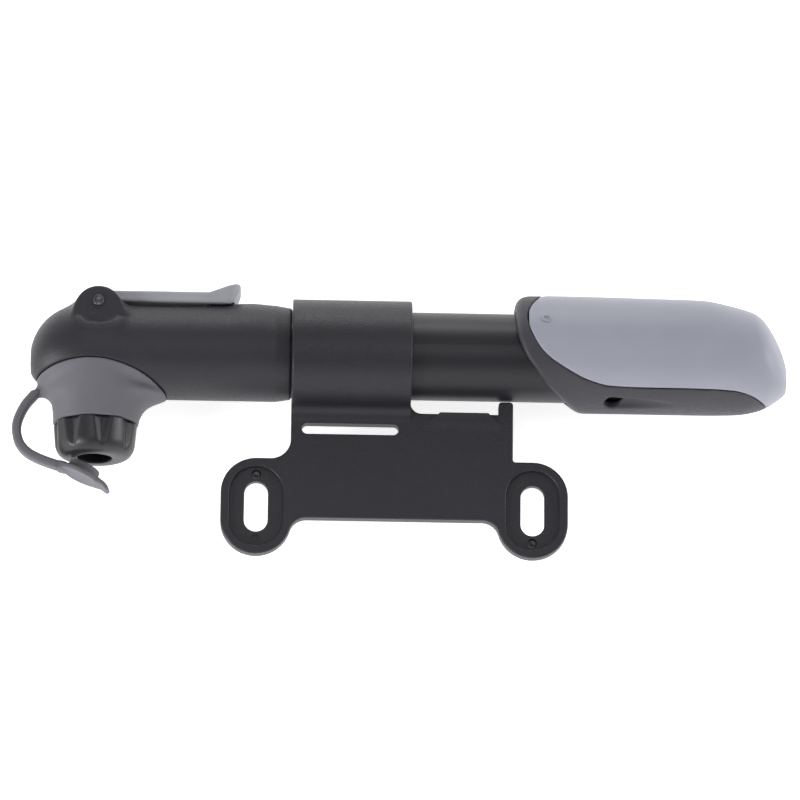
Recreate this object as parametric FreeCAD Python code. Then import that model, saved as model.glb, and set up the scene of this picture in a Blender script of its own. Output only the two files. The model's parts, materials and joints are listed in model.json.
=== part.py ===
import FreeCAD, Part
import math
import os

os.makedirs("parts", exist_ok=True)

V = FreeCAD.Vector

# Bicycle mini pump with a bottle-cage bracket. Millimetres.
# Working axes: X along the barrel from the nozzle axis towards the handle, Y across the pump
# (the nozzle points along -Y, the lock lever lies on the +Y side), Z out of the bracket's front face.
# The last step moves everything so that the origin is the middle of the bracket's back face,
# half way between its two bolt slots.

# ---- driving dimensions ----
RUN = 0.05                    # radial running clearance of every shaft in its hole

BARREL_R = 10.25
BARREL_BORE = 8.9
BARREL_X0 = 27.0
BARREL_X1 = 150.0
GASKET_T = 0.5
SEAT_R = 8.0                  # check valve seat, pressed into the head behind the barrel
SEAT_X = (24.0, 26.5)
AIRWAY_R = 2.2                # passage from the check valve to the nozzle

HOUSING_R = 11.2
HOUSING_X1 = 45.1             # end of the head's socket for the barrel
DOME_LENGTH = 15.7            # rounded left end, beyond the nozzle axis
DOME_MIDDLE = -3.6            # height of the dome's foremost point
DOME_POWER = 2.3              # roundness of the dome's outline, 2 for an ellipse
DOME_INSET = 0.998            # the dome meets the head's cylinder on a hairline step
SWELL = 0.4                   # how far the socket's end swells
HOUSING_END_R = 10.75
SEAM_R = 27.0                 # curved joint between the housing and the rubber shroud
SEAM_C = V(-1.5, -31.5, 0)

BOSS_R = 5.5                  # ears that carry the lever's pin
BOSS_C = V(0.3, 7.4, 0)
BOSS_HALF = 10.3
PIN_R = 1.3
PIN_C = V(0.3, 9.2, 0)
POCKET_R = 4.7
POCKET_HALF = 6.75
FLAT_Y = 9.1                  # flat on the housing under the lever
FLAT_X = (4.0, 26.0)

LEVER_HALF = 6.6
LEVER_TOP = 12.9
LEVER_UNDER = 10.2
LEVER_TIP_X = 33.3
LEVER_PLAN_R = 5.0            # rounding of the tip's corners, seen from above
CAM_R = 4.4
CAM_LIFT = 1.5                # plunger travel as the lever goes from flat to upright

RIM_DOWN = 18.0               # how far below the barrel's axis the shroud ends
RIM_R = 9.8
COLLAR_DOWN = 26.1            # how far below the barrel's axis the collar ends
COLLAR_R_TOP = 9.7
COLLAR_R_END = 8.95
COLLAR_SKIRT_R = 8.6
COLLAR_SKIRT_DOWN = 12.0
COLLAR_THREAD_R = 7.45
COLLAR_FLOOR_DOWN = 23.6
COLLAR_FLUTES = 8
VALVE_HOLE_R = 4.0
GROMMET_R = 7.2
GROMMET_BORE = 3.8
GROMMET_TOP = 19.0
STEM_R = 7.4
STEM_BORE = 5.6
STEM_NECK_R = 7.0
STEM_FLANGE_R = 9.3
STEM_FLANGE_DOWN = (7.0, 9.0)
STEM_END = 18.9
PLUNGER_R = 3.0
PLUNGER_FLANGE_R = 5.55

ROD_R = 3.0
ROD_NECK_R = 2.6              # rod's thinner end, through the grip's web
ROD_NECK_X = 151.9
ROD_X1 = 154.5
SCREW_R = 1.25
WASHER_T = 0.8
PISTON_X0 = 31.0
PISTON_X1 = 38.0
PISTON_R = 8.75

HANDLE_X0 = 97.5              # foremost edge of the grip's slanted mouth
HANDLE_BORE = 10.6
HANDLE_WEB = (152.0, 154.45)
GUIDE_RING_R = 10.9
GUIDE_RING_X = (125.0, 132.0)
VENT_R = 2.1                  # vent hole on the grip's lower front side
VENT_X = 119.8
VENT_TURN = 71.0              # from the front towards the nozzle's side
COVER_T = 1.5
GRIP_TILT = 16.0              # the grip's own upright leans forward by this angle

CLIP_X0 = 45.3
CLIP_X1 = 73.0
CLIP_BORE = 10.33
CLIP_R = 12.8
CLIP_END = 235.0              # angle of the clip's free lip, from -Y round the front
PLATE_FRONT = -0.5
PLATE_T = 2.8
PLATE_X1 = 96.9
PLATE_TOP = 13.6
PLATE_LOW = 39.1
EAR_X = (37.5, 101.5)         # bolt slots 64 apart, for bottle-cage bosses
EAR_DOWN = 36.4
EAR_R = 8.2
EAR_STRAIGHT = 6.5            # straight length shared by ear, recess and slot
RECESS_R = 6.15
RECESS_DEPTH = 1.1
SLOT_R = 2.75
MARK_R = 1.1                  # round ejector marks in the recess floors
MARK_OUT = 7.7
CLIP_BLEND = 3.5              # radius of the hollow between the clip and the plate
GUSSET_R = 2.6
HUMP_REACH = 4.0              # raised lip on the plate's upper edge
HUMP_RISE = 1.2
HUMP_LOW_X = (74.9, 95.3)
HUMP_TOP_X = (79.9, 91.1)
STRAP_SLOT_X = (47.8, 70.3)   # slot for a holding strap
STRAP_SLOT_DOWN = 17.7
STRAP_SLOT_R = 1.3
FINGER_W = 3.4
FINGER_TOP = 10.5

CAP_TILT = 24.0
CAP_TOP = V(-2.0, -27.9, 0)   # centre of the dust cap's plug, hanging below the collar
STRAP_T = 2.2
STRAP_W = 3.2

PLATE_BACK = PLATE_FRONT - PLATE_T
ORIGIN = V(sum(EAR_X) / 2, -EAR_DOWN, PLATE_BACK)

AX = V(1, 0, 0)
AY = V(0, 1, 0)
AZ = V(0, 0, 1)


# ---- helpers ----
def rod_x(r, x0, x1, y=0.0, z=0.0):
    """Cylinder along X."""
    return Part.makeCylinder(r, x1 - x0, V(x0, y, z), AX)


def ring_x(r, bore, x0, x1):
    """Tube along X."""
    return rod_x(r, x0, x1).cut(rod_x(bore, x0, x1))


def rod_down(r, d0, d1, x=0.0):
    """Cylinder along the nozzle axis between two distances below the barrel's axis."""
    return Part.makeCylinder(r, d1 - d0, V(x, -d1, 0), AY)


def cone_down(r0, r1, d0, d1):
    """Cone along the nozzle axis, radius r0 at distance d0 and r1 at distance d1."""
    return Part.makeCone(r1, r0, d1 - d0, V(0, -d1, 0), AY)


def rod_z(r, centre, half):
    """Cylinder along Z, centred on z = 0."""
    return Part.makeCylinder(r, 2 * half, V(centre.x, centre.y, -half), AZ)


def block(x0, x1, y0, y1, z0, z1):
    return Part.makeBox(x1 - x0, y1 - y0, z1 - z0, V(x0, y0, z0))


def prism_z(points, half):
    """Polygon in the XY plane, extruded to both sides of z = 0."""
    loop = [V(x, y, -half) for x, y in points]
    face = Part.Face(Part.makePolygon(loop + loop[:1]))
    return face.extrude(V(0, 0, 2 * half))


def fuse(first, *others):
    return first.multiFuse(list(others)).removeSplitter()


def revolve_x(points):
    """Solid of revolution about X from (x, r) points joined by straight lines."""
    loop = [V(x, r, 0) for x, r in points]
    face = Part.Face(Part.makePolygon(loop + loop[:1]))
    return face.revolve(V(0, 0, 0), AX, 360)


def torus(ring_r, wire_r, centre, axis):
    return Part.makeTorus(ring_r, wire_r, centre, axis)


def edges_at(shape, test):
    """Edges that pass the test."""
    return [e for e in shape.Edges if test(e)]


def polar_yz(r, degrees, x=0.0):
    """Point at an angle measured from -Y towards +Z."""
    a = math.radians(degrees)
    return V(x, -r * math.cos(a), r * math.sin(a))


# ---- bracket ----
def stadium(x, radius, z0, z1):
    """Upright slot shape centred on a bolt position."""
    half = EAR_STRAIGHT / 2
    ends = [Part.makeCylinder(radius, z1 - z0, V(x, -EAR_DOWN + s * half, z0), AZ) for s in (-1, 1)]
    middle = block(x - radius, x + radius, -EAR_DOWN - half, -EAR_DOWN + half, z0, z1)
    return fuse(middle, *ends)


def runs_along_x(edge):
    return abs(edge.tangentAt(edge.FirstParameter).x) > 0.99


def runs_along_z(edge):
    return abs(edge.tangentAt(edge.FirstParameter).z) > 0.99


def bracket_plate():
    """Flat plate with ears, the web under the clip, a gusset and a finger, with its front edges eased."""
    z0, z1 = PLATE_BACK, PLATE_FRONT
    ear_top = EAR_DOWN - EAR_STRAIGHT / 2 - EAR_R
    plate = block(CLIP_X0, PLATE_X1, -PLATE_LOW, -PLATE_TOP, z0, z1)
    band = block(EAR_X[0], EAR_X[1], -PLATE_LOW, -ear_top, z0, z1)
    web = block(CLIP_X0, CLIP_X1, -PLATE_TOP, -CLIP_BORE, z0, z1)
    gusset = block(CLIP_X1, CLIP_X1 + GUSSET_R, -PLATE_TOP, GUSSET_R - PLATE_TOP, z0, z1)
    gusset = gusset.cut(rod_z(GUSSET_R, V(CLIP_X1 + GUSSET_R, GUSSET_R - PLATE_TOP, 0), 10))
    finger = block(PLATE_X1 - FINGER_W, PLATE_X1, -PLATE_TOP, -FINGER_TOP, z0, z1)
    finger_tips = edges_at(finger, lambda e: runs_along_z(e) and e.CenterOfMass.y > -FINGER_TOP - 0.01)
    finger = finger.makeFillet(0.8, finger_tips)
    shape = fuse(plate, band, web, gusset, finger, *[stadium(x, EAR_R, z0, z1) for x in EAR_X])

    def corner(x, y, reach=0.8):
        def near(e):
            c = e.CenterOfMass
            return runs_along_z(e) and abs(c.x - x) < reach and abs(c.y - y) < reach
        return edges_at(shape, near)

    inner_x = EAR_X[0] + EAR_R
    far_x = EAR_X[1] - EAR_R
    shape = shape.makeFillet(4.6, corner(CLIP_X0, -ear_top))
    shape = shape.makeFillet(0.6, corner(PLATE_X1, -ear_top))
    shape = shape.makeFillet(4.0, corner(inner_x, -PLATE_LOW) + corner(far_x, -PLATE_LOW))

    floor = z1 - RECESS_DEPTH
    for x in EAR_X:
        shape = shape.cut(stadium(x, RECESS_R, floor, z1 + 1))
        shape = shape.cut(stadium(x, SLOT_R, z0 - 1, z1 + 1))

    def front_rim(e):
        c, box = e.CenterOfMass, e.BoundBox
        under_clip = c.y > -PLATE_TOP + 0.1 and c.x < CLIP_X1
        beside_hump = abs(c.y + PLATE_TOP) < 0.01 and c.x > CLIP_X1
        return box.ZMin > z1 - 0.001 and not under_clip and not beside_hump
    return shape.makeFillet(0.4, edges_at(shape, front_rim))


def bracket_hump():
    """Raised lip on the plate's upper edge: a hollow ramp with slanted ends."""
    ramp_r = (HUMP_REACH ** 2 + HUMP_RISE ** 2) / (2 * HUMP_RISE)
    low_y = -PLATE_TOP - HUMP_REACH
    outline = [(HUMP_LOW_X[0], low_y), (HUMP_LOW_X[1], low_y), (HUMP_TOP_X[1], -PLATE_TOP),
               (HUMP_TOP_X[0], -PLATE_TOP)]
    sunk = 0.6
    loop = [V(x, y, PLATE_FRONT - sunk) for x, y in outline]
    lip = Part.Face(Part.makePolygon(loop + loop[:1])).extrude(V(0, 0, sunk + HUMP_RISE))
    return lip.cut(rod_x(ramp_r, 70, 100, low_y, PLATE_FRONT + ramp_r))


def bracket_clip():
    """C-shaped clip with a rounded free lip and a concave blend onto the plate."""
    ring = rod_x(CLIP_R, CLIP_X0, CLIP_X1)
    ring = ring.makeFillet(0.4, edges_at(ring, lambda e: e.Length > CLIP_R * 3 and not runs_along_x(e)))
    ring = ring.cut(rod_x(CLIP_BORE, CLIP_X0, CLIP_X1))
    gap = [V(CLIP_X0 - 1, 0, 0)]
    for degrees in (CLIP_END, CLIP_END + 35, CLIP_END + 70, 345.0):
        gap.append(polar_yz(30, degrees, CLIP_X0 - 1))
    mouth = Part.Face(Part.makePolygon(gap + gap[:1])).extrude(V(CLIP_X1 - CLIP_X0 + 2, 0, 0))
    lip_at = polar_yz((CLIP_R + CLIP_BORE) / 2, CLIP_END, CLIP_X0)
    lip = Part.makeCylinder((CLIP_R - CLIP_BORE) / 2, CLIP_X1 - CLIP_X0, lip_at, AX)
    reach = math.sqrt((CLIP_R + CLIP_BLEND) ** 2 - (PLATE_FRONT + CLIP_BLEND) ** 2)
    inside = -CLIP_BORE - 0.8
    tri = [V(CLIP_X0, -reach, PLATE_FRONT - 0.2), V(CLIP_X0, -reach, PLATE_FRONT + CLIP_BLEND),
           V(CLIP_X0, inside, PLATE_FRONT + CLIP_BLEND * 0.75), V(CLIP_X0, inside, PLATE_FRONT - 0.2)]
    blend = Part.Face(Part.makePolygon(tri + tri[:1])).extrude(V(CLIP_X1 - CLIP_X0, 0, 0))
    blend = blend.cut(rod_x(CLIP_BLEND, CLIP_X0 - 1, CLIP_X1 + 1, -reach, PLATE_FRONT + CLIP_BLEND))
    return fuse(ring.cut(mouth), lip, blend)


def bracket():
    shape = fuse(bracket_plate(), bracket_clip())
    shape = fuse(shape, bracket_hump())

    # strap slot, and the ejector marks in the recess floors
    centres = (STRAP_SLOT_X[0] + STRAP_SLOT_R, STRAP_SLOT_X[1] - STRAP_SLOT_R)
    slot = block(*centres, -STRAP_SLOT_DOWN - STRAP_SLOT_R, -STRAP_SLOT_DOWN + STRAP_SLOT_R, -6, 6)
    ends = [rod_z(STRAP_SLOT_R, V(x, -STRAP_SLOT_DOWN, 0), 6) for x in centres]
    shape = shape.cut(fuse(slot, *ends))
    floor = PLATE_FRONT - RECESS_DEPTH
    for x, side, depth in ((EAR_X[0], 1, 0.6), (EAR_X[0], -1, 0.3), (EAR_X[1], 1, 0.15), (EAR_X[1], -1, 0.6)):
        mark = Part.makeCylinder(MARK_R, 1, V(x, -EAR_DOWN + side * MARK_OUT, floor - depth), AZ)
        shape = shape.cut(mark.common(stadium(x, RECESS_R - 0.2, floor - 2, floor + 1)))
    return shape.cut(rod_x(CLIP_BORE, CLIP_X0 - 1, CLIP_X1 + 1)).removeSplitter()


# ---- head ----
def dome_wires():
    """Upright sections of the head's rounded end, from the nozzle axis to its foremost point."""
    wires = []
    for x in (1.5, 0.0, -1.5, -3.5, -5.5, -7.5, -9.3, -10.9, -12.2, -13.3, -14.2, -14.9, -15.35):
        share = (1 - max(-x / DOME_LENGTH, 0) ** DOME_POWER) ** (1 / DOME_POWER) * DOME_INSET
        top = DOME_MIDDLE + (HOUSING_R - DOME_MIDDLE) * share
        low = DOME_MIDDLE - (HOUSING_R + DOME_MIDDLE) * share
        depth = HOUSING_R * share
        ring = []
        for i in range(16):
            a = math.pi * i / 8
            ring.append(V(x, (top + low) / 2 + (top - low) / 2 * math.cos(a), depth * math.sin(a)))
        curve = Part.BSplineCurve()
        curve.interpolate(Points=ring, PeriodicFlag=True)
        wires.append(Part.Wire([curve.toShape()]))
    return wires


def head_form():
    """Outer form of the head: a cylinder, a swollen socket end and a rounded left end."""
    start = V(0, HOUSING_R, 0)
    swell0 = V(29.0, HOUSING_R, 0)
    swell1 = V(42.4, HOUSING_R + 0.1, 0)
    end = V(HOUSING_X1, HOUSING_END_R, 0)
    edges = [
        Part.makeLine(V(0, 0, 0), start),
        Part.makeLine(start, swell0),
        Part.Arc(swell0, V(36.5, HOUSING_R + SWELL, 0), swell1).toShape(),
        Part.makeLine(swell1, end),
        Part.makeLine(end, V(HOUSING_X1, 0, 0)),
        Part.makeLine(V(HOUSING_X1, 0, 0), V(0, 0, 0)),
    ]
    body = Part.Face(Part.Wire(edges)).revolve(V(0, 0, 0), AX, 360)
    return fuse(body, Part.makeLoft(dome_wires(), True, False))


def below_seam():
    return rod_z(SEAM_R, SEAM_C, 30)


def lever_pocket():
    """Room for the lever's cam between the ears."""
    well = rod_z(POCKET_R, PIN_C, POCKET_HALF)
    way_out = block(PIN_C.x - POCKET_R, PIN_C.x + POCKET_R, PIN_C.y, 20, -POCKET_HALF, POCKET_HALF)
    flat = block(FLAT_X[0], FLAT_X[1], FLAT_Y, 20, -POCKET_HALF, POCKET_HALF)
    return fuse(well, way_out, flat)


def head_housing():
    ears = rod_z(BOSS_R, BOSS_C, BOSS_HALF).cut(rod_z(BOSS_R + 1, BOSS_C, POCKET_HALF))
    shape = fuse(head_form(), ears)
    cuts = [
        below_seam(),
        lever_pocket(),
        rod_z(PIN_R, PIN_C, BOSS_HALF + 1),
        rod_down(PLUNGER_R + RUN, -PIN_C.y, 0),
        rod_down(STEM_BORE, -1.5, 20),
        rod_down(STEM_NECK_R, 2.5, 20),
        rod_x(AIRWAY_R, 0, 21),
        rod_x(SEAT_R, 20, 28),
        rod_x(BARREL_R, BARREL_X0 - GASKET_T, 60),
    ]
    for cut in cuts:
        shape = shape.cut(cut)
    return shape.removeSplitter()


def ring_section(down, left, right, depth):
    """Closed egg-shaped wire round the nozzle axis."""
    points = []
    for i in range(16):
        a = 2 * math.pi * i / 16
        reach = right if math.cos(a) > 0 else left
        points.append(V(reach * math.cos(a), -down, depth * math.sin(a)))
    curve = Part.BSplineCurve()
    curve.interpolate(Points=points, PeriodicFlag=True)
    return Part.Wire([curve.toShape()])


def nozzle_shroud():
    """Rubber boot round the nozzle: flush with the housing above, narrowing to a round rim."""
    sections = ((3.0, 11.0, 12.0, 10.1), (6.0, 11.4, 12.8, 10.1), (9.0, 11.8, 14.6, 10.05),
                (11.0, 11.7, 15.9, 10.0), (12.2, 11.1, 14.6, 9.95), (13.8, 10.2, 12.0, 9.9),
                (15.8, 9.9, 10.6, 9.85), (RIM_DOWN, RIM_R, RIM_R + 0.1, RIM_R))
    neck = Part.makeLoft([ring_section(*s) for s in sections], True, False)
    lug = prism_z([(-10.5, -7.5), (-14.92, -9.92), (-13.18, -11.28), (-10.0, -10.8)], STRAP_W / 2)
    shape = fuse(head_form(), neck).common(below_seam())
    shape = fuse(shape, lug)
    for cut in (rod_down(COLLAR_SKIRT_R + 0.15, 9.0, 20), rod_down(STEM_FLANGE_R, *STEM_FLANGE_DOWN),
                rod_down(STEM_NECK_R, 0, 8)):
        shape = shape.cut(cut)
    return shape.removeSplitter()


def nozzle_stem():
    flange = rod_down(STEM_FLANGE_R, *STEM_FLANGE_DOWN)
    body = fuse(rod_down(STEM_NECK_R, 2.5, 7.0), flange, rod_down(STEM_R, 9.0, STEM_END))
    groove = rod_down(7.2, 4.2, 5.8).cut(rod_down(6.2, 4.2, 5.8))
    return body.cut(rod_down(STEM_BORE, 0, 20)).cut(groove)


def stem_o_ring():
    return torus(6.6, 0.4, V(0, -5.0, 0), AY)


def collar_flute(angle):
    """Cutter of one tapered finger groove in the collar's side."""
    deep, mouth = COLLAR_R_TOP - 0.75, COLLAR_R_TOP + 1.2
    wedge = []
    for down, half in ((RIM_DOWN - 1, 2.0), (COLLAR_DOWN - 0.9, 0.4)):
        root = deep if half > 1 else COLLAR_R_END + 0.2
        loop = [V(root, -down, -half * 0.55), V(mouth, -down, -half * 1.5),
                V(mouth, -down, half * 1.5), V(root, -down, half * 0.55)]
        wedge.append(Part.makePolygon(loop + loop[:1]))
    flute = Part.makeLoft(wedge, True, True)
    flute.rotate(V(0, 0, 0), AY, angle)
    return flute


def valve_collar():
    skirt = rod_down(COLLAR_SKIRT_R, COLLAR_SKIRT_DOWN, RIM_DOWN + 0.5)
    body = cone_down(COLLAR_R_TOP, COLLAR_R_END, RIM_DOWN + 0.1, COLLAR_DOWN)
    body = body.makeFillet(2.4, edges_at(body, lambda e: abs(e.CenterOfMass.y + COLLAR_DOWN) < 1e-6))
    body = fuse(body, skirt)
    for i in range(COLLAR_FLUTES):
        body = body.cut(collar_flute(12 + 360 * i / COLLAR_FLUTES))
    body = body.cut(rod_down(COLLAR_THREAD_R, 5, COLLAR_FLOOR_DOWN))
    body = body.cut(rod_down(VALVE_HOLE_R, 5, COLLAR_DOWN + 1))

    def mouth_rim(e):
        return abs(e.CenterOfMass.y + COLLAR_DOWN) < 0.01 and abs(e.BoundBox.XLength - 2 * VALVE_HOLE_R) < 0.1
    return body.makeChamfer(0.3, edges_at(body, mouth_rim))


def valve_grommet():
    return rod_down(GROMMET_R, GROMMET_TOP, COLLAR_FLOOR_DOWN - 0.05).cut(rod_down(GROMMET_BORE, 18, 25))


def plunger():
    top = PIN_C.y - (CAM_R - CAM_LIFT) - 0.07
    shaft = rod_down(PLUNGER_R, -top, 15.0)
    flange = rod_down(PLUNGER_FLANGE_R, 14.2, 17.3)
    probe = rod_down(1.7, 17.0, 18.6)
    body = fuse(shaft, flange, probe)
    body = body.cut(rod_down(0.9, 9.0, 20)).cut(rod_x(0.9, -4, 4, -10.5))
    body = body.cut(rod_down(3.5, -3.9, -2.5).cut(rod_down(2.2, -3.9, -2.5)))
    return body.cut(rod_down(6.0, 15.1, 16.3).cut(rod_down(4.6, 15.1, 16.3)))


def plunger_o_rings():
    upper = torus(2.62, 0.42, V(0, 3.2, 0), AY)
    lower = torus(5.08, 0.48, V(0, -15.7, 0), AY)
    return Part.makeCompound([upper, lower])


def grommet_washer():
    """Thin slip washer under the plunger's flange."""
    return rod_down(PLUNGER_FLANGE_R, 17.3, 17.4).cut(rod_down(1.7, 17, 18))


def lock_lever():
    """Flat arm with a turned-up tip, and a cam that presses the plunger as the arm is raised."""
    back = PIN_C.x - 2.6
    top = [(back, PIN_C.y), (back, LEVER_TOP - 1.4), (back + 1.4, LEVER_TOP), (25.8, LEVER_TOP), (32.3, 15.4),
           (33.0, 15.5), (LEVER_TIP_X, 14.9)]
    under = [(27.6, LEVER_UNDER), (PIN_C.x, LEVER_UNDER), (PIN_C.x, PIN_C.y)]
    arm = prism_z(top + under, LEVER_HALF)
    arm = arm.makeFillet(0.3, edges_at(arm, lambda e: runs_along_z(e) and e.CenterOfMass.x > 32
                                       and e.CenterOfMass.y > 15.2))
    inner_x = LEVER_TIP_X - LEVER_PLAN_R
    inner_z = LEVER_HALF - LEVER_PLAN_R
    plan = block(-10, inner_x, 0, 20, -LEVER_HALF, LEVER_HALF)
    round_tip = block(0, LEVER_TIP_X, 0, 20, -inner_z, inner_z)
    corners = [Part.makeCylinder(LEVER_PLAN_R, 20, V(inner_x, 0, z), AY) for z in (-inner_z, inner_z)]
    arm = arm.common(fuse(plan, round_tip, *corners))
    arm = arm.cut(rod_x(HOUSING_R + 0.2, FLAT_X[1] - 0.5, 45)).cut(rod_x(HOUSING_R + 0.55, 28.5, 45))
    hub = rod_z(CAM_R - CAM_LIFT - 0.02, PIN_C, LEVER_HALF)
    lobe_c = V(PIN_C.x, PIN_C.y + CAM_LIFT, 0)
    lobe = rod_z(CAM_R, lobe_c, LEVER_HALF)
    lobe = lobe.common(block(-10, PIN_C.x, 0, lobe_c.y, -9, 9))
    body = fuse(arm, hub, lobe)
    return body.cut(rod_z(PIN_R + RUN, PIN_C, 12))


def lever_pin():
    return rod_z(PIN_R, PIN_C, BOSS_HALF - 0.05)


# ---- check valve ----
def check_valve_seat():
    return rod_x(SEAT_R, *SEAT_X).cut(rod_x(1.8, 20, 30))


def check_valve_disc():
    return fuse(rod_x(4.0, 22.7, SEAT_X[0] - 0.05), rod_x(1.3, 21.9, 22.7))


def check_valve_spring():
    """Light cone spring, drawn as three stacked turns."""
    turns = [torus(2.0 + 0.3 * i, 0.22, V(20.35 + 0.8 * i, 0, 0), AX) for i in range(3)]
    return Part.makeCompound(turns)


# ---- barrel and piston ----
def barrel_tube():
    return ring_x(BARREL_R, BARREL_BORE, BARREL_X0, BARREL_X1)


def barrel_gasket():
    return ring_x(BARREL_R - 0.05, SEAT_R + 0.05, BARREL_X0 - GASKET_T, BARREL_X0)


def barrel_end_bush():
    body = fuse(rod_x(BARREL_BORE, 143.0, BARREL_X1), rod_x(BARREL_R, BARREL_X1, BARREL_X1 + 1.5))
    body = body.cut(rod_x(ROD_R + RUN, 140, 155))
    return body.cut(ring_x(4.2, ROD_R, 145.6, 147.2))


def rod_o_ring():
    return torus(ROD_R + RUN + 0.5, 0.5, V(146.4, 0, 0), AX)


def piston_rod():
    body = fuse(rod_x(ROD_R, 34.0, ROD_NECK_X), rod_x(ROD_NECK_R, ROD_NECK_X, ROD_X1))
    return body.cut(rod_x(SCREW_R, 33.0, 46.0)).cut(rod_x(SCREW_R, 148.0, 157.0))


def piston_head():
    body = rod_x(PISTON_R, PISTON_X0, PISTON_X1)
    body = body.cut(ring_x(PISTON_R + 1, 6.6, 33.0, 36.4))
    body = body.cut(rod_x(ROD_R, 34.0, 40.0)).cut(rod_x(1.5, 30, 36))
    return body.cut(rod_x(2.9, 30, 32.2))


def piston_cup_seal():
    cup = [(33.05, 6.65), (36.35, 6.65), (36.35, BARREL_BORE - 0.25), (33.05, BARREL_BORE - 0.03)]
    lip = [(32.9, 7.4), (34.9, 7.4), (32.9, 8.3)]
    return revolve_x(cup).cut(revolve_x(lip))


def piston_screw():
    return fuse(rod_x(2.75, 31.1, 32.2), rod_x(SCREW_R, 32.2, 44.0))


def piston_bumper():
    return ring_x(6.0, ROD_R, PISTON_X1, PISTON_X1 + 3.0)


def rod_end_washer():
    return ring_x(4.6, SCREW_R, ROD_X1, ROD_X1 + WASHER_T)


def rod_end_screw():
    head = rod_x(2.6, ROD_X1 + WASHER_T, ROD_X1 + 2.0)
    return fuse(head, rod_x(SCREW_R, 149.0, ROD_X1 + WASHER_T))


# ---- handle ----
# (x, how far the grip reaches above and below the barrel's axis)
HANDLE_SECTIONS = (
    (88.0, 14.6, 12.7), (98.0, 14.6, 12.7), (108.0, 14.6, 12.7), (118.0, 14.45, 12.7),
    (128.0, 14.3, 12.7), (136.0, 14.2, 12.7), (142.0, 13.95, 12.7), (146.0, 13.4, 12.65),
    (149.5, 12.6, 12.5), (152.5, 11.45, 12.0), (155.0, 9.95, 11.1), (157.2, 7.85, 9.9),
    (158.8, 5.1, 8.6), (159.9, 1.5, 7.4), (160.4, -1.6, 6.4))


def handle_form(inset=0.0):
    """Grip form: round sections that drift off the barrel's axis towards a slanted end."""
    wires = []
    for x, top, low in HANDLE_SECTIONS:
        r = (top + low) / 2
        slope = min(1.0, r / HANDLE_SECTIONS[0][1])
        centre = V(x - inset * math.sqrt(1 - slope * slope), (top - low) / 2, 0)
        wires.append(Part.Wire([Part.makeCircle(r - inset * slope, centre, AX)]))
    return Part.makeLoft(wires, True, False)


def side_prism(curve_points, corners):
    """Solid as deep as the grip, bounded by a smooth curve and straight sides in the grip's own side view."""
    curve = Part.BSplineCurve()
    curve.interpolate([V(x, y, -30) for x, y in curve_points])
    edges = [curve.toShape()]
    path = [curve_points[-1], *corners, curve_points[0]]
    for (x0, y0), (x1, y1) in zip(path, path[1:]):
        edges.append(Part.makeLine(V(x0, y0, -30), V(x1, y1, -30)))
    solid = Part.Face(Part.Wire(edges)).extrude(V(0, 0, 60))
    solid.rotate(V(0, 0, 0), AX, GRIP_TILT)
    return solid


def handle_front_cut():
    """Everything in front of the grip's slanted mouth."""
    mouth = [(HANDLE_X0, 9.0), (98.0, 4.6), (99.9, 0.6), (102.1, -2.6), (104.9, -6.2), (109.0, -10.0),
             (112.6, -13.0), (116.0, -16.0)]
    return side_prism(mouth, [(116, -30), (60, -30), (60, 30), (HANDLE_X0, 30)])


def above_cover_seam():
    """Region of the grip that the soft cover takes, seen from the side."""
    seam = [(105.2, 15.4), (102.4, 14.0), (100.4, 12.0), (99.9, 9.4), (100.7, 6.0), (103.9, 1.2),
            (109.2, -2.6), (114.8, -5.2), (121.6, -6.3), (142.5, -6.5), (150.5, -7.4), (155.9, -10.4),
            (158.5, -13.5)]
    return side_prism(seam, [(175, -14), (175, 30), (105.2, 30)])


def handle_cover():
    return handle_form().cut(handle_form(COVER_T)).common(above_cover_seam())


def handle_shell():
    outer = handle_form()
    shape = outer.cut(outer.cut(handle_form(COVER_T)).common(above_cover_seam()))
    shape = shape.cut(handle_front_cut())
    shape = shape.cut(rod_x(HANDLE_BORE, 80, HANDLE_WEB[0]))
    shape = shape.cut(rod_x(ROD_NECK_R + RUN, 150, 158))
    shape = shape.cut(rod_x(5.4, HANDLE_WEB[1], 165))
    shape = shape.cut(ring_x(GUIDE_RING_R, 10.0, *GUIDE_RING_X))

    # vent hole on the lower front side, with a groove that fades towards the end
    turn, rise = math.radians(VENT_TURN), math.radians(7)
    out = V(0, -math.sin(turn), math.cos(turn))
    seat = V(VENT_X, 0.9, 0) + out * 13.5
    hole = Part.makeCylinder(VENT_R, 8, seat - out * 5, out)
    away = AX * math.cos(rise) + out * math.sin(rise)
    groove = Part.makeCylinder(VENT_R, 20, seat + out * 0.9, away)
    return shape.cut(hole).cut(groove)


def handle_guide_ring():
    return ring_x(GUIDE_RING_R, BARREL_R + RUN, *GUIDE_RING_X)


# ---- dust cap on its strap ----
def cap_strap():
    """Moulded rubber loop between the boot and the cap."""
    route = [(-14.3, -10.92), (-16.4, -13.6), (-17.9, -16.95), (-18.2, -19.7), (-17.4, -22.7),
             (-15.5, -24.9), (-12.5, -26.5), (-8.8, -27.8)]
    curve = Part.BSplineCurve()
    curve.interpolate([V(x, y, 0) for x, y in route])
    inner, outer = [], []
    for u in curve.getKnots():
        p = curve.value(u)
        t = curve.tangent(u)[0]
        n = V(-t.y, t.x, 0).normalize()
        inner.append(p + n * (STRAP_T / 2))
        outer.append(p - n * (STRAP_T / 2))
    loop = [Part.makeLine(inner[-1], outer[-1]), Part.makeLine(outer[0], inner[0])]
    for side in (inner, outer):
        edge = Part.BSplineCurve()
        edge.interpolate(side)
        loop.append(edge.toShape())
    face = Part.Face(Part.Wire(Part.__sortEdges__(loop)))
    face.translate(V(0, 0, -STRAP_W / 2))
    return face.extrude(V(0, 0, STRAP_W))


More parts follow.
